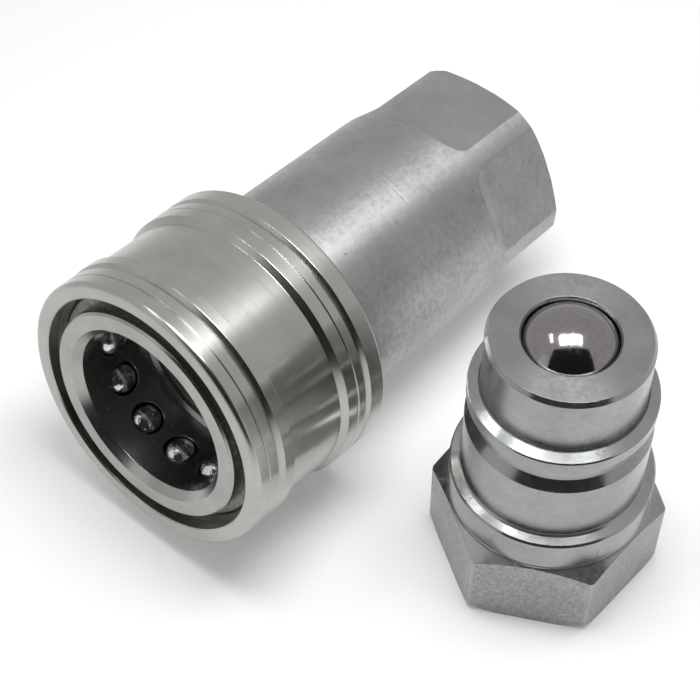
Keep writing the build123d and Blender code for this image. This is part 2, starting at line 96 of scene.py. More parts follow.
def rounded(outline, closed):
    """A profile path of (along, radius, normal along, normal outward), each corner an arc of its radius."""
    count = len(outline)
    path = []
    for i, (a, r, corner) in enumerate(outline):
        here = Vector((a, r))
        if not closed and i in (0, count - 1):
            other = Vector(outline[1 if i == 0 else count - 2][:2])
            run = (other - here) if i == 0 else (here - other)
            run.normalize()
            path.append((a, r, -run.y, run.x))
            continue
        before = Vector(outline[i - 1][:2]) - here
        after = Vector(outline[(i + 1) % count][:2]) - here
        u, v = before.normalized(), after.normalized()
        n_in = Vector((u.y, -u.x))
        n_out = Vector((-v.y, v.x))
        half = acos(max(-1, min(1, u.dot(v)))) / 2
        reach = min(corner / tan(half), 0.49 * before.length, 0.49 * after.length) if half > 0.01 else 0
        if corner <= 0 or reach < 1e-5:
            path.append((a, r, n_in.x, n_in.y))
            path.append((a, r, n_out.x, n_out.y))
            continue
        radius = reach * tan(half)
        start, end = here + u * reach, here + v * reach
        middle = here + (u + v).normalized() * (radius / sin(half))
        sweep = pi - 2 * half
        steps = max(2, round(BEND_STEPS * sweep / (pi / 2)) + 1)
        first = (start - middle).normalized()
        last = (end - middle).normalized()
        side = 1 if n_in.dot(first) > 0 else -1
        for k in range(steps + 1):
            way = first.slerp(last, k / steps) if first.dot(last) > -0.999 else first
            spot = middle + way * radius
            path.append((spot.x, spot.y, way.x * side, way.y * side))
    if closed:
        path.append(path[0])
    return path


def finished(name, verts, faces, normals):
    """A smooth mesh object from points, faces and one normal per point."""
    mesh = bpy.data.meshes.new(name)
    mesh.from_pydata(verts, [], faces)
    mesh.polygons.foreach_set("use_smooth", [True] * len(mesh.polygons))
    mesh.update()
    mesh.normals_split_custom_set_from_vertices(normals)
    piece = bpy.data.objects.new(name, mesh)
    bpy.context.scene.collection.objects.link(piece)
    return piece


class Skin:
    """Points, faces and normals that several surfaces add to."""

    def __init__(self):
        self.verts, self.faces, self.normals = [], [], []

    def grid(self, rows, wrap=False):
        """Quads between rows of (point, normal)."""
        base = len(self.verts)
        wide = len(rows[0])
        for row in rows:
            for spot, normal in row:
                self.verts.append(spot)
                self.normals.append(normal)
        for i in range(len(rows) - 1):
            for j in range(wide if wrap else wide - 1):
                k = (j + 1) % wide
                here, there = base + i * wide, base + (i + 1) * wide
                self.faces.append([here + j, here + k, there + k, there + j])

    def turn(self, place, path, steps=TURN_STEPS):
        """A profile path turned all the way round."""
        turns = [2 * pi * k / steps for k in range(steps)]
        rows = []
        for a, r, na, nr in path:
            rows.append([(point(place, a, r, turn), slant(place, na, nr, turn)) for turn in turns])
        self.grid(rows, wrap=True)

    def cap(self, ring, normal):
        """A flat end over a ring of (point, normal)."""
        base = len(self.verts)
        self.verts += [spot for spot, _ in ring]
        self.normals += [normal] * len(ring)
        self.faces.append(list(range(base, base + len(ring))))

    def piece(self, name):
        """The finished object, with its faces turned to agree with their normals."""
        for n, face in enumerate(self.faces):
            a, b, c, d = (self.verts[i] for i in face[:4])
            mean = sum((self.normals[i] for i in face), Vector())
            if (c - a).cross(d - b).dot(mean) < 0:
                self.faces[n] = face[::-1]
        return finished(name, self.verts, self.faces, self.normals)


def divided(path, step):
    """The same profile path, with its long runs divided."""
    stations = [path[0]]
    for start, end in zip(path, path[1:]):
        count = max(1, ceil(abs(end[0] - start[0]) / step))
        for k in range(1, count + 1):
            stations.append(tuple(u + (v - u) * k / count for u, v in zip(start, end)))
    return stations


def faceted(flat_skin, round_skin, place, path, flat, count, turn):
    """A turned path cut by a ring of flats. The flats go to one skin, and the rest to another.

    flat gives, for a station along the axis, a flat's distance from the axis and its slope there.
    """
    half = pi / count
    flat_steps, round_steps = 10, 34
    for number in range(count):
        middle = turn + 2 * half * number
        flat_rows, round_rows = [], []
        for a, r, na, nr in path:
            distance, slope = flat(a)
            reach = min(acos(min(1, distance / r)), half)
            inner = min(radians(EDGE_SOFTNESS), 0.45 * reach)
            outer = min(radians(EDGE_SOFTNESS), 0.45 * (half - reach))
            level = slant(place, -slope, 1, middle)
            beyond = slant(place, -slope, 1, middle + 2 * half)

            def edge(off, beside):
                around = slant(place, na, nr, middle + off)
                return point(place, a, r, middle + off), (beside + around).normalized() if reach else around

            row = []
            for k in range(flat_steps + 1):
                off = (reach - inner) * (2 * k / flat_steps - 1)
                row.append((point(place, a, distance / cos(off) if reach else r, middle + off), level))
            flat_rows.append([edge(-reach, level)] + row + [edge(reach, level)])
            row = []
            for k in range(round_steps + 1):
                off = reach + outer + (half - reach - outer) * 2 * k / round_steps
                row.append((point(place, a, r, middle + off), slant(place, na, nr, middle + off)))
            round_rows.append([edge(reach, level)] + row + [edge(2 * half - reach, beyond)])
        flat_skin.grid(flat_rows)
        round_skin.grid(round_rows)


def pierced(skin, place, start, middle, end, radius, side, hole, count):
    """A band of a bore (side -1) or of a round outside (side 1), with a ring of round holes at middle."""
    half = pi / count * radius
    below, above = start - middle, end - middle
    corners = [(half, below), (half, above), (-half, above), (-half, below)]
    rim = []
    for (x0, y0), (x1, y1) in zip(corners, corners[1:] + corners[:1]):
        rim += [(x0 + (x1 - x0) * k / 16, y0 + (y1 - y0) * k / 16) for k in range(16)]
    for number in range(count):
        turn = 2 * pi * number / count
        rows = []
        for share in (0, 0.1, 0.3, 0.65, 1):
            row = []
            for x, y in rim:
                reach = hypot(x, y)
                near_x, near_y = asin(hole * x / reach / radius) * radius, hole * y / reach
                off = turn + (near_x + (x - near_x) * share) / radius
                away = slant(place, 0, side, off)
                if share == 0:
                    inward = slant(place, y / reach, 0, 0) + turned_aside(place, turn) * (x / reach)
                    away = (away * 1.3 - inward).normalized()
                row.append((point(place, middle + near_y + (y - near_y) * share, radius, off), away))
            rows.append(row)
        skin.grid(rows, wrap=True)


def turned_aside(place, turn):
    """The unit vector at right angles to a spoke, the way the turn grows."""
    _, _, first, second = place
    return second * cos(turn) - first * sin(turn)


def drilled(skin, place, along, heights, count):
    """The walls of a ring of radial holes.

    Each of heights is (distance from the axis, radius pierced, hole radius), and where the distance is None
    the wall ends on the pierced radius.
    """
    origin, axis, first, second = place
    for number in range(count):
        turn = 2 * pi * number / count
        spoke = first * cos(turn) + second * sin(turn)
        aside = turned_aside(place, turn)
        rows = []
        for height, bore, hole in heights:
            row = []
            for k in range(HOLE_STEPS):
                x, y = cos(2 * pi * k / HOLE_STEPS), sin(2 * pi * k / HOLE_STEPS)
                up = height or sqrt(bore**2 - (hole * x) ** 2)
                spot = origin + (axis * (along + hole * y) + aside * (hole * x) + spoke * up) * MM
                row.append((spot, -(axis * y + aside * x)))
            rows.append(row)
        skin.grid(rows, wrap=True)


def threaded(skin, place, start, end, minor, depth, pitch):
    """An internal pipe thread, cut outward from its minor radius."""
    around, per_turn = 96, 12
    gain, crest = 3.4, 0.35        # steepness of the flanks, and how much of the crest is cut off
    count = round(abs(end - start) / pitch * per_turn)
    rows = []
    for i in range(count + 1):
        a = start + (end - start) * i / count
        ease = min(1, abs(a - start) / pitch, abs(end - a) / pitch)
        row = []
        for k in range(around):
            phase = (a / pitch - k / around) % 1
            rise = min(1, max(0, gain / 2 * (1 - abs(2 * phase - 1)) - crest))
            slope = 0 if rise in (0, 1) else gain * depth * ease / pitch * (1 if phase < 0.5 else -1)
            turn = 2 * pi * k / around
            row.append((point(place, a, minor + depth * rise * ease, turn), slant(place, slope, -1, turn)))
        rows.append(row)
    skin.grid(rows, wrap=True)


def climbed(turned, turns, ease):
    """The share of a coil's rise done after some turns. Its pitch eases in and out over ease turns."""
    first = min(turned, ease)
    steady = max(0, min(turned, turns - ease) - ease)
    last = max(0, turned - (turns - ease))
    return (first**2 / (2 * ease) + steady + last - last**2 / (2 * ease)) / (turns - ease)


def coiled(name, place, fixed, moving, coil, wire_radius, turns):
    """A compression spring of round wire between two stations on an axis, closed at both ends."""
    _, axis, _, _ = place
    ease, steps, around = 0.5, 48, 16
    way = 1 if moving > fixed else -1
    rise = abs(moving - fixed) - 2 * wire_radius
    count = round(turns * steps)
    rows = []
    for i in range(count + 1):
        turned_by = turns * i / count
        angle = 2 * pi * turned_by
        steepness = min(1, turned_by / ease, (turns - turned_by) / ease) * rise / (turns - ease)
        lean = atan(steepness / (2 * pi * coil))
        outward = slant(place, 0, 1, angle)
        onward = turned_aside(place, angle) * cos(lean) + axis * (way * sin(lean))
        across = outward.cross(onward)
        along = fixed + way * (wire_radius + rise * climbed(turned_by, turns, ease))
        middle = point(place, along, coil, angle)
        row = []
        for k in range(around):
            normal = outward * cos(2 * pi * k / around) + across * sin(2 * pi * k / around)
            row.append((middle + normal * wire_radius * MM, normal))
        rows.append(row)
    skin = Skin()
    skin.grid(rows, wrap=True)
    skin.cap(rows[0], -turned_aside(place, 0))
    skin.cap(rows[-1], turned_aside(place, 2 * pi * turns))
    return skin.piece(name)


def dress(piece, body, material, node):
    """Put a piece on its body, give it its finish, and let it stand for a CAD node."""
    piece.data.materials.clear()
    piece.data.materials.append(material)
    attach(piece, body)
    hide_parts(node)


# ---------------------------------------------------------------- materials
class Nodes:
    """Short names for building a node tree."""

    def __init__(self, name):
        self.material = bpy.data.materials.new(name)
        self.material.use_nodes = True
        self.tree = self.material.node_tree
        self.shader = self.tree.nodes["Principled BSDF"]

    def add(self, kind, **values):
        """A node with its properties set."""
        node = self.tree.nodes.new(kind)
        for key, value in values.items():
            setattr(node, key, value)
        return node

    def link(self, start, end):
        """A link from an output to an input."""
        self.tree.links.new(start, end)

    def place(self, origin, axis, scale=(1, 1, 1)):
        """Coordinates in millimetres with X along a turning axis, stretched by scale."""
        where = self.add("ShaderNodeTexCoord")
        shift = self.add("ShaderNodeVectorMath", operation="SUBTRACT")
        shift.inputs[1].default_value = origin
        self.link(where.outputs["Object"], shift.inputs[0])
        turn = axis.rotation_difference(Vector((1, 0, 0))).to_euler()
        mapping = self.add("ShaderNodeMapping")
        mapping.inputs["Rotation"].default_value = turn
        mapping.inputs["Scale"].default_value = [1000 * s for s in scale]
        self.link(shift.outputs[0], mapping.inputs["Vector"])
        return mapping.outputs["Vector"]

    def round_about(self, origin, axis):
        """The direction of turning at each point, for the stretched highlights of turned metal."""
        where = self.add("ShaderNodeTexCoord")
        shift = self.add("ShaderNodeVectorMath", operation="SUBTRACT")
        shift.inputs[1].default_value = origin
        self.link(where.outputs["Object"], shift.inputs[0])
        across = self.add("ShaderNodeVectorMath", operation="CROSS_PRODUCT")
        across.inputs[0].default_value = axis
        self.link(shift.outputs[0], across.inputs[1])
        unit = self.add("ShaderNodeVectorMath", operation="NORMALIZE")
        self.link(across.outputs[0], unit.inputs[0])
        return unit.outputs[0]

    def noise(self, vector, scale, detail, rough, distortion=0.0):
        """A noise value from 0 to 1."""
        node = self.add("ShaderNodeTexNoise")
        node.inputs["Scale"].default_value = scale
        node.inputs["Detail"].default_value = detail
        node.inputs["Roughness"].default_value = rough
        node.inputs["Distortion"].default_value = distortion
        self.link(vector, node.inputs["Vector"])
        return node.outputs["Fac"]

    def spread(self, value, low, high, start=0.0, end=1.0):
        """Value mapped from low..high to start..end."""
        node = self.add("ShaderNodeMapRange")
        node.inputs["From Min"].default_value = low
        node.inputs["From Max"].default_value = high
        node.inputs["To Min"].default_value = start
        node.inputs["To Max"].default_value = end
        self.link(value, node.inputs["Value"])
        return node.outputs["Result"]

    def blend(self, factor, first, second):
        """A mix of two colours, by a factor from another node."""
        node = self.add("ShaderNodeMix", data_type="RGBA")
        self.link(factor, node.inputs["Factor"])
        for value, socket in ((first, node.inputs[6]), (second, node.inputs[7])):
            if isinstance(value, tuple):
                socket.default_value = (*value, 1)
            else:
                self.link(value, socket)
        return node.outputs[2]

    def maths(self, operation, first, second):
        """One step of arithmetic on two values, each a number or another node's."""
        node = self.add("ShaderNodeMath", operation=operation)
        for value, socket in ((first, node.inputs[0]), (second, node.inputs[1])):
            if isinstance(value, (int, float)):
                socket.default_value = value
            else:
                self.link(value, socket)
        return node.outputs[0]

    def bump(self, height, strength, distance, normal=None):
        """A normal that follows a height, over another normal if there is one."""
        node = self.add("ShaderNodeBump")
        node.inputs["Strength"].default_value = strength
        node.inputs["Distance"].default_value = distance
        self.link(height, node.inputs["Height"])
        if normal is not None:
            self.link(normal, node.inputs["Normal"])
        return node.outputs["Normal"]


def darker(tint, share):
    """A colour made darker."""
    return tuple(c * share for c in tint)


def plated(name, place, light, dark, rough, lathe, cloud, nicks, stretch, mottled=0.0):
    """Zinc-plated machined steel, turned about an axis.

    lathe is the depth of its turning marks, cloud how blotchy it is, nicks how scratched and pitted,
    stretch how far the turning marks draw its highlights out, and mottled how uneven its skin is.
    """
    origin, axis, _, _ = place
    n = Nodes(name)
    plain = n.place(origin, axis)
    rings = n.place(origin, axis, (1, 0.004, 0.004))
    across = n.place(origin, axis, (1.7, 0.16, 0.16))
    clouds = n.noise(plain, 0.16, 4, 0.6)
    mottle = n.noise(plain, 1.3, 5, 0.65)
    tint = n.blend(n.spread(clouds, 0.35, 0.65), dark, light)
    specks = n.spread(n.noise(plain, 1.9, 2, 0.5), 0.745, 0.765)
    marks = n.spread(n.noise(across, 1.6, 2, 0.5, 0.6), 0.735, 0.76)
    shade = n.blend(n.spread(mottle, 0.3, 0.7, 0, 0.35 * cloud), tint, darker(dark, 0.72))
    if mottled:
        worms = n.noise(plain, 2.1, 3, 0.6, 1.2)
        shade = n.blend(n.spread(worms, 0.4, 0.62, 0, mottled), shade, darker(dark, 0.6))
    flaws = n.maths("MULTIPLY", n.maths("MAXIMUM", specks, marks), 0.55 * nicks)
    shade = n.blend(flaws, shade, darker(dark, 0.45))
    n.link(shade, n.shader.inputs["Base Color"])
    n.shader.inputs["Metallic"].default_value = 1.0
    streak = n.noise(rings, 5.0, 3, 0.7)
    smears = n.spread(mottle, 0.3, 0.7, -0.25 * rough * cloud, 0.3 * rough * cloud)
    wear = n.maths("ADD", smears, n.spread(streak, 0.3, 0.7, -0.08 * rough, 0.1 * rough))
    n.link(n.maths("ADD", wear, rough), n.shader.inputs["Roughness"])
    grain = n.bump(n.noise(rings, 9.0, 2, 0.6), lathe, 0.000012)
    dents = n.bump(n.noise(plain, 0.9, 3, 0.5), 0.25 * cloud, 0.00006, grain)
    if mottled:
        dents = n.bump(worms, mottled, 0.00009, dents)
    pits = n.bump(n.maths("MULTIPLY", n.maths("MAXIMUM", specks, marks), -1.0), nicks, 0.00003, dents)
    n.link(pits, n.shader.inputs["Normal"])
    if stretch:
        n.shader.inputs["Anisotropic"].default_value = stretch
        n.shader.inputs["Anisotropic Rotation"].default_value = 0.25
        n.link(n.round_about(origin, axis), n.shader.inputs["Tangent"])
    return n.material


def polished(name, tint, rough, dents=0.0, size=1.0):
    """Polished steel, with faint scuffs, and dents where dents is above nought."""
    n = Nodes(name)
    plain = n.place(*EVERYWHERE)
    scuff = n.noise(plain, 2.2 * size, 4, 0.6)
    n.link(n.blend(n.spread(scuff, 0.35, 0.7), tint, darker(tint, 0.8)), n.shader.inputs["Base Color"])
    n.shader.inputs["Metallic"].default_value = 1.0
    n.link(n.spread(scuff, 0.4, 0.75, rough, rough * 2 + 0.03), n.shader.inputs["Roughness"])
    fine = n.bump(n.noise(plain, 1.4 * size, 2, 0.5), 0.04 + dents, 0.00008 if dents else 0.00002)
    n.link(fine, n.shader.inputs["Normal"])
    return n.material


def wire(name, tint, rough):
    """Drawn spring wire."""
    n = Nodes(name)
    plain = n.place(*EVERYWHERE)
    film = n.noise(plain, 1.5, 4, 0.6)
    n.link(n.blend(n.spread(film, 0.3, 0.7), tint, darker(tint, 0.6)), n.shader.inputs["Base Color"])
    n.shader.inputs["Metallic"].default_value = 0.95
    n.link(n.spread(film, 0.3, 0.7, rough, rough + 0.15), n.shader.inputs["Roughness"])
    n.link(n.bump(n.noise(plain, 8.0, 2, 0.5), 0.2, 0.00002), n.shader.inputs["Normal"])
    return n.material


def moulded(name, tint, rough, grain):
    """Rubber or plastic."""
    n = Nodes(name)
    plain = n.place(*EVERYWHERE)
    film = n.noise(plain, 1.2, 4, 0.6)
    n.link(n.blend(n.spread(film, 0.3, 0.7), tint, darker(tint, 0.7)), n.shader.inputs["Base Color"])
    n.link(n.spread(film, 0.3, 0.7, rough - 0.08, rough + 0.1), n.shader.inputs["Roughness"])
    n.link(n.bump(n.noise(plain, 10.0, 2, 0.5), grain, 0.00003), n.shader.inputs["Normal"])
    return n.material


SLEEVE_FINISH = plated(
    "sleeve_zinc", SOCKET_FRAME, light=(0.46, 0.46, 0.43), dark=(0.40, 0.405, 0.38), rough=0.24,
    lathe=0.15, cloud=0.05, nicks=0.1, stretch=0.75,
)
RIM_FINISH = plated(
    "nose_zinc", SOCKET_FRAME, light=(0.42, 0.425, 0.40), dark=(0.34, 0.345, 0.33), rough=0.24,
    lathe=0.3, cloud=0.4, nicks=0.12, stretch=0.6,
)
BODY_FINISH = plated(
    "body_zinc", SOCKET_FRAME, light=(0.42, 0.43, 0.425), dark=(0.36, 0.37, 0.365), rough=0.38,
    lathe=0.3, cloud=0.8, nicks=1.0, stretch=0.75,
)
PLUG_FINISH = plated(
    "plug_zinc", PLUG_FRAME, light=(0.38, 0.395, 0.385), dark=(0.31, 0.32, 0.31), rough=0.22,
    lathe=0.2, cloud=0.6, nicks=1.0, stretch=0.7,
)
HEX_FINISH = plated(
    "hex_zinc", PLUG_FRAME, light=(0.41, 0.415, 0.40), dark=(0.33, 0.335, 0.325), rough=0.30,
    lathe=0.1, cloud=0.8, nicks=0.6, stretch=0, mottled=0.75,
)
BALL_FINISH = polished("valve_ball_steel", (0.31, 0.295, 0.29), 0.08)
LOCK_BALL_FINISH = polished("lock_ball_steel", (0.78, 0.78, 0.80), 0.08, dents=0.8, size=1.6)
WIRE_FINISH = wire("spring_wire", (0.30, 0.29, 0.28), 0.35)
SEAL_FINISH = moulded("seal_rubber", (0.02, 0.02, 0.022), 0.5, 0.3)
BACKUP_FINISH = moulded("backup_plastic", (0.75, 0.74, 0.70), 0.45, 0.2)

# ---------------------------------------------------------------- release sleeve
SLEEVE_SHOULDER = 10.4
SLEEVE_OUTLINE = [
    (0, 17.6, 0.15), (0, 19.74, 0.72), (2.12, 19.74, 0.05), (2.24, 19.56, 0.03), (2.36, 19.74, 0.05),
    (3.85, 19.74, 0.08), (4.05, 19.12, 0.1), (4.2, 19.12, 0.1), (4.95, 19.87, 0.12), (6.68, 19.87, 0.12),
    (6.95, 19.28, 0.12), (16.3, 19.28, 0.15), (17.05, 20.05, 0.15), (18.9, 20.07, 0.02),
    (19.02, 19.93, 0.02), (19.14, 20.08, 0.02), (20.45, 20.08, 0.08), (20.68, 19.4, 0.1),
    (20.82, 19.4, 0.1), (21.5, 20.12, 0.15), (23.9, 20.12, 0.2), (24.5, 19.55, 0.12), (24.5, 16.2, 0.08),
    (24.2, 16.0, 0.05), (21.6, 16.0, 0.05), (21.3, 16.3, 0.05), (SLEEVE_SHOULDER, 16.3, 0.05),
    (SLEEVE_SHOULDER, 15.78, 0.05), (7.7, 15.78, 0.02), (4.12, 16.3, 0.05), (4.12, 16.8, 0.05),
    (2.9, 16.8, 0.1), (1.9, 17.35, 0.1), (0.2, 17.4, 0.05),
]
sleeve_skin = Skin()
sleeve_skin.turn(SOCKET_FRAME, rounded(SLEEVE_OUTLINE, True))
sleeve = sleeve_skin.piece("release_sleeve_turned")
dress(sleeve, "sleeve", SLEEVE_FINISH, "release_sleeve")

# ---------------------------------------------------------------- socket nose, its bore and its ball holes
BALL_STATION = 7.1
BAND_START, BORE_END, NOSE_END = 4.6, 12.4, 10.3
BORE, SEAL_BORE, NOSE_OUTSIDE = 12.2, 10.35, 15.45
LIP_HOLE, BALL_HOLE = 2.3, 2.45
LIP_TOP = 12.4
CHAMBER_END, CHAMBER = 48.0, 8.35
MOUTH_OUTLINE = [
    (BAND_START, BORE, 0), (4.5, 12.0, 0.05), (1.1, 12.0, 0.12), (0, 13.05, 0.12), (0, 15.15, 0.05),
    (0.3, 15.45, 0.05), (2.75, 15.45, 0.03), (2.75, 14.5, 0), (4.1, 14.5, 0), (4.1, 15.45, 0.03),
    (BAND_START, NOSE_OUTSIDE, 0),
]
SEAT_OUTLINE = [
    (CHAMBER_END, CHAMBER, 0), (22.92, CHAMBER, 0.2), (20.3, 6.6, 0.06), (20.3, SEAL_BORE, 0.1),
    (18.3, SEAL_BORE, 0.06), (18.3, 12.05, 0.1), (15.2, 12.05, 0.1), (15.2, SEAL_BORE, 0.06),
    (12.8, SEAL_BORE, 0.12), (12.8, 11.55, 0.15), (BORE_END, BORE, 0),
]
nose_skin = Skin()
nose_skin.turn(SOCKET_FRAME, rounded(MOUTH_OUTLINE, False))
nose_skin.turn(SOCKET_FRAME, rounded(SEAT_OUTLINE, False))
pierced(nose_skin, SOCKET_FRAME, BAND_START, BALL_STATION, BORE_END, BORE, -1, LIP_HOLE, BALL_COUNT)
pierced(nose_skin, SOCKET_FRAME, BAND_START, BALL_STATION, NOSE_END, NOSE_OUTSIDE, 1, BALL_HOLE, BALL_COUNT)
LIP_AND_WALL = [
    (None, BORE, LIP_HOLE), (LIP_TOP, BORE, LIP_HOLE),
    (LIP_TOP, BORE, BALL_HOLE), (None, NOSE_OUTSIDE, BALL_HOLE),
]
drilled(nose_skin, SOCKET_FRAME, BALL_STATION, LIP_AND_WALL, BALL_COUNT)
dress(nose_skin.piece("socket_nose"), "socket", RIM_FINISH, "socket_body")

# ---------------------------------------------------------------- socket barrel, wrench flats and port
SPRING_SEAT = 21.9
FLAT_DISTANCE = 14.45
FLAT_START, RUNOUT_START = 57.6, 54.4
RUNOUT_RADIUS = 4.22
PORT_MINOR, PORT_PITCH, THREAD_DEPTH = 9.32, 1.814, 1.1
THREAD_START, THREAD_END = 68.9, 55.4
BARREL_OUTLINE = [
    (NOSE_END, NOSE_OUTSIDE, 0), (NOSE_END, 14.4, 0.3), (SPRING_SEAT, 14.4, 0.3), (SPRING_SEAT, 15.9, 0.15),
    (42.8, 15.9, 0.1), (43.0, 15.885, 0.1), (43.2, 15.9, 0.1), (69.4, 15.9, 0.12), (70.2, 14.55, 0.08),
    (70.2, FLAT_DISTANCE, 0), (70.2, 10.6, 0.1), (69.1, PORT_MINOR, 0.1), (THREAD_START, PORT_MINOR, 0),
]
HOUSING_OUTLINE = [
    (THREAD_END, PORT_MINOR, 0), (55.2, PORT_MINOR, 0.1), (54.7, 8.8, 0.1), (50.75, 8.8, 0.03),
    (50.75, 9.5, 0.05), (49.65, 9.5, 0.05), (49.65, 8.8, 0.03), (CHAMBER_END, 8.8, 0.1),
    (CHAMBER_END, CHAMBER, 0),
]


def wrench_flat(along):
    """Distance and slope of a wrench flat, which runs out of the barrel as the cutter's arc."""
    if along >= FLAT_START:
        return FLAT_DISTANCE, 0
    back = min(FLAT_START - along, 0.95 * RUNOUT_RADIUS)
    rise = sqrt(RUNOUT_RADIUS**2 - back**2)
    return FLAT_DISTANCE + RUNOUT_RADIUS - rise, -back / rise


barrel_skin = Skin()
barrel_path = rounded(BARREL_OUTLINE, False)
plain_end = next(i for i, station in enumerate(barrel_path) if station[0] > RUNOUT_START)
run_start = (RUNOUT_START - 1, *barrel_path[plain_end - 1][1:])
barrel_skin.turn(SOCKET_FRAME, barrel_path[:plain_end] + [run_start], FINE_STEPS)
barrel_end = divided([run_start] + barrel_path[plain_end:], 0.25)
faceted(barrel_skin, barrel_skin, SOCKET_FRAME, barrel_end, wrench_flat, FLAT_COUNT, 0)
threaded(barrel_skin, SOCKET_FRAME, THREAD_START, THREAD_END, PORT_MINOR, THREAD_DEPTH, PORT_PITCH)
barrel_skin.turn(SOCKET_FRAME, rounded(HOUSING_OUTLINE, False))
dress(barrel_skin.piece("socket_barrel"), "socket", BODY_FINISH, "socket_body")

# ---------------------------------------------------------------- plug and its hexagon
PLUG_TOP, PLUG_THROAT = 43.0, 6.16
PLUG_NOSE, PLUG_CYLINDER = 10.25, 11.85
PLUG_THREAD_TOP, PLUG_THREAD_FOOT = 14.8, 0.6
GUIDE_SEAT = 20.45
HEX_ACROSS, HEX_TURN, HEX_TOP = 27.0, radians(27.5), 12.4
HEX_CORNER, FLANGE_FOOT = 15.44, 12.8
PLUG_OUTLINE = [
    (12.3, FLANGE_FOOT, 0), (12.42, 13.34, 0.05), (12.85, 13.36, 0.06), (12.95, 13.28, 0.04),
    (17.42, 13.3, 0.08), (17.72, 13.08, 0.05), (18.12, 12.14, 0.08), (18.3, PLUG_CYLINDER, 0.15),
    (27.5, PLUG_CYLINDER, 0.08), (28.9, 10.85, 0.15), (31.15, 10.85, 0.3), (31.5, 11.55, 0.1),
    (31.68, 11.85, 0.06), (33.3, 11.85, 0.05), (33.46, 11.7, 0.05), (33.98, 10.5, 0.08),
    (33.8, 10.28, 0.03), (34.05, PLUG_NOSE, 0.1), (42.35, PLUG_NOSE, 0.04), (PLUG_TOP, 9.85, 0.03),
    (PLUG_TOP, PLUG_THROAT, 0.04), (42.72, 5.92, 0.06), (42.42, 5.92, 0.03), (41.92, 6.2, 0.03),
    (39.64, 7.5, 0.1), (GUIDE_SEAT, 7.5, 0.05), (GUIDE_SEAT, 8.8, 0.1), (18.8, 8.8, 0.03),
    (18.8, 9.5, 0.05), (17.7, 9.5, 0.05), (17.7, 8.8, 0.03), (15.5, 8.8, 0.1), (15.0, PORT_MINOR, 0.1),
    (PLUG_THREAD_TOP, PORT_MINOR, 0),
]
HEX_OUTLINE = [
    (PLUG_THREAD_FOOT, PORT_MINOR, 0), (0.4, PORT_MINOR, 0.05), (0, 9.72, 0.1), (0, HEX_ACROSS / 2, 0),
    (0, 14.2, 0.1), (0.8, HEX_CORNER, 0.1), (11.17, HEX_CORNER, 0.06), (12.38, 13.34, 0.03),
    (HEX_TOP, FLANGE_FOOT, 0),
]


def plug_flat(_):
    """Distance and slope of a flat of the plug's hexagon, the same at every station."""
    return HEX_ACROSS / 2, 0


plug_skin, hex_skin = Skin(), Skin()
plug_skin.turn(PLUG_FRAME, rounded(PLUG_OUTLINE, False), FINE_STEPS)
threaded(plug_skin, PLUG_FRAME, PLUG_THREAD_TOP, PLUG_THREAD_FOOT, PORT_MINOR, THREAD_DEPTH, PORT_PITCH)
hex_path = divided(rounded(HEX_OUTLINE, False), 0.1)
faceted(hex_skin, plug_skin, PLUG_FRAME, hex_path, plug_flat, FLAT_COUNT, HEX_TURN)
dress(plug_skin.piece("plug_turned"), "plug", PLUG_FINISH, "plug_body")
dress(hex_skin.piece("plug_flats"), "plug", HEX_FINISH, "plug_body")

# ---------------------------------------------------------------- coil springs
BALL_GAP = 0.1
SPRING_SLACK = 0.05
SOCKET_BALL, SOCKET_COIL, SOCKET_WIRE = 7.94, 5.3, 0.65
PLUG_BALL, PLUG_COIL, PLUG_WIRE = 7.145, 4.9, 0.6


def station(node, place):
    """How far along an axis the middle of a CAD node lies, in millimetres."""
    low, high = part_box(node)
    return ((Vector(low) + Vector(high)) / 2 - place[0]).dot(place[1]) / MM


def resting(ball, coil, wire_radius):
    """How far past a ball's middle the end of a coil that rests on the ball lies."""
    return sqrt((ball + wire_radius + BALL_GAP) ** 2 - coil**2) - wire_radius


def fitted(node, body, place, fixed, moving, coil, wire_radius, turns):
    """A coil spring in place of its CAD node, wound from its fixed end to its moving end."""
    piece = coiled(f"{node}_coil", place, fixed, moving, coil, wire_radius, turns)
    dress(piece, body, WIRE_FINISH, node)
    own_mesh(piece)


fitted(
    "sleeve_spring", "socket", SOCKET_FRAME,
    fixed=SPRING_SEAT - SPRING_SLACK, moving=SLEEVE_SHOULDER + SPRING_SLACK,
    coil=15.35, wire_radius=0.72, turns=3.25,
)
fitted(
    "socket_valve_spring", "socket", SOCKET_FRAME, fixed=CHAMBER_END,
    moving=station("socket_valve_ball", SOCKET_FRAME) + resting(SOCKET_BALL, SOCKET_COIL, SOCKET_WIRE),
    coil=SOCKET_COIL, wire_radius=SOCKET_WIRE, turns=6.5,
)
fitted(
    "plug_valve_spring", "plug", PLUG_FRAME, fixed=GUIDE_SEAT,
    moving=station("plug_valve_ball", PLUG_FRAME) - resting(PLUG_BALL, PLUG_COIL, PLUG_WIRE),
    coil=PLUG_COIL, wire_radius=PLUG_WIRE, turns=5.5,
)

# ---------------------------------------------------------------- finishes of the pieces that stay
PLAIN_FINISHES = {
    "sleeve_stop_ring": WIRE_FINISH,
    "nose_seal": SEAL_FINISH,
    "nose_backup_ring": BACKUP_FINISH,
    "socket_valve_ball": BALL_FINISH,
    "socket_valve_guide": BODY_FINISH,
    "socket_circlip": WIRE_FINISH,
    "plug_valve_ball": BALL_FINISH,
    "plug_valve_guide": PLUG_FINISH,
    "plug_circlip": WIRE_FINISH,
}
for number in range(BALL_COUNT):
    PLAIN_FINISHES[f"locking_ball_{number + 1:02d}"] = LOCK_BALL_FINISH
for name, finish in PLAIN_FINISHES.items():
    node = frame["nodes"][name]
    node.data.materials.clear()
    node.data.materials.append(finish)

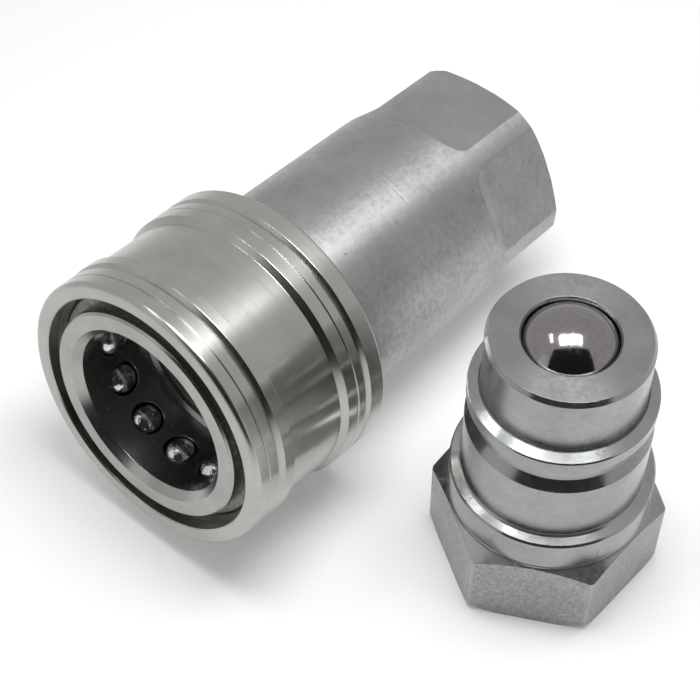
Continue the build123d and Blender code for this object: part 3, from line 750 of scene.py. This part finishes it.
# ---------------------------------------------------------------- floor, light and camera
CAMERA_AIM = Vector((0.95, 34.84, 11.40)) * MM
CAMERA_AZIMUTH = radians(-50.0)
CAMERA_ELEVATION = radians(51.38)
CAMERA_DISTANCE = 0.2484
CAMERA_LENS, SENSOR_WIDTH = 91.4, 36
FLOOR_GLOW = 0.2


def floor():
    """A pale light table."""
    mesh = bpy.data.meshes.new("floor")
    half = 3.0
    corners = [(-half, -half, 0), (half, -half, 0), (half, half, 0), (-half, half, 0)]
    mesh.from_pydata(corners, [], [(0, 1, 2, 3)])
    plane = bpy.data.objects.new("floor", mesh)
    bpy.context.scene.collection.objects.link(plane)
    n = Nodes("floor_paper")
    n.shader.inputs["Base Color"].default_value = (0.75, 0.75, 0.75, 1)
    n.shader.inputs["Roughness"].default_value = 0.9
    n.shader.inputs["Emission Color"].default_value = (1, 1, 1, 1)
    n.shader.inputs["Emission Strength"].default_value = FLOOR_GLOW
    mesh.materials.append(n.material)


def softbox(name, place, aim, size, power, long_way):
    """A rectangular area light that points at aim, its long side lying at long_way degrees."""
    data = bpy.data.lights.new(name, "AREA")
    data.shape = "RECTANGLE"
    data.size, data.size_y = size
    data.energy = power
    lamp = bpy.data.objects.new(name, data)
    back = (Vector(place) - Vector(aim)).normalized()
    across = Vector((cos(radians(long_way)), sin(radians(long_way)), 0)).cross(back).normalized()
    turned_to = Matrix((across, back.cross(across), back)).transposed()
    lamp.matrix_world = Matrix.Translation(place) @ turned_to.to_4x4()
    bpy.context.scene.collection.objects.link(lamp)


def board(name, toward, near, far, tint):
    """A flat board in the direction toward, which gives the metal its darker reflections.

    near and far are its two level edges: each is (distance from the stand's middle, height, width).
    """
    way = Vector((cos(radians(toward)), sin(radians(toward)), 0))
    aside = Vector((-way.y, way.x, 0))
    corners = []
    for side, (distance, height, width) in ((1, near), (-1, near), (-1, far), (1, far)):
        corners.append(way * distance + aside * (side * width / 2) + Vector((0, 0, height)))
    mesh = bpy.data.meshes.new(name)
    mesh.from_pydata(corners, [], [(0, 1, 2, 3)])
    panel = bpy.data.objects.new(name, mesh)
    bpy.context.scene.collection.objects.link(panel)
    panel.visible_camera = False
    n = Nodes(name)
    n.shader.inputs["Base Color"].default_value = (*tint, 1)
    n.shader.inputs["Roughness"].default_value = 0.9
    mesh.materials.append(n.material)


def surroundings(strength):
    """An even pale room."""
    world = bpy.data.worlds.new("room")
    world.use_nodes = True
    world.node_tree.nodes["Background"].inputs["Color"].default_value = (1, 1, 1, 1)
    world.node_tree.nodes["Background"].inputs["Strength"].default_value = strength
    bpy.context.scene.world = world


def camera():
    """The camera, looking along the photograph's line of sight."""
    level = Vector((-sin(CAMERA_AZIMUTH), cos(CAMERA_AZIMUTH), 0))
    sight = level * cos(CAMERA_ELEVATION) - Vector((0, 0, sin(CAMERA_ELEVATION)))
    data = bpy.data.cameras.new("camera")
    data.lens = CAMERA_LENS
    data.sensor_width = SENSOR_WIDTH
    data.clip_start = 0.01
    eye = bpy.data.objects.new("camera", data)
    eye.location = CAMERA_AIM - sight * CAMERA_DISTANCE
    eye.rotation_euler = sight.to_track_quat("-Z", "Y").to_euler()
    bpy.context.scene.collection.objects.link(eye)
    bpy.context.scene.camera = eye


floor()
surroundings(strength=0.66)
softbox(
    "overhead", place=(0.006, 0.004, 0.215), aim=(0, 0, 0.04), size=(0.062, 0.125), power=0.37, long_way=-50
)
softbox(
    "strip", place=(-0.04, 0.108, 0.206), aim=(0, 0, 0.04), size=(0.012, 0.06), power=0.03, long_way=40
)
softbox(
    "left_fill", place=(-0.5, 0.16, 0.3), aim=(0, 0.02, 0.01), size=(0.25, 0.35), power=0.06, long_way=90
)
board("dark_board", toward=-140, near=(0.45, 0.001, 0.8), far=(0.12, 0.52, 0.62), tint=(0.02, 0.02, 0.022))
camera()
bpy.context.scene.view_settings.view_transform = "Standard"
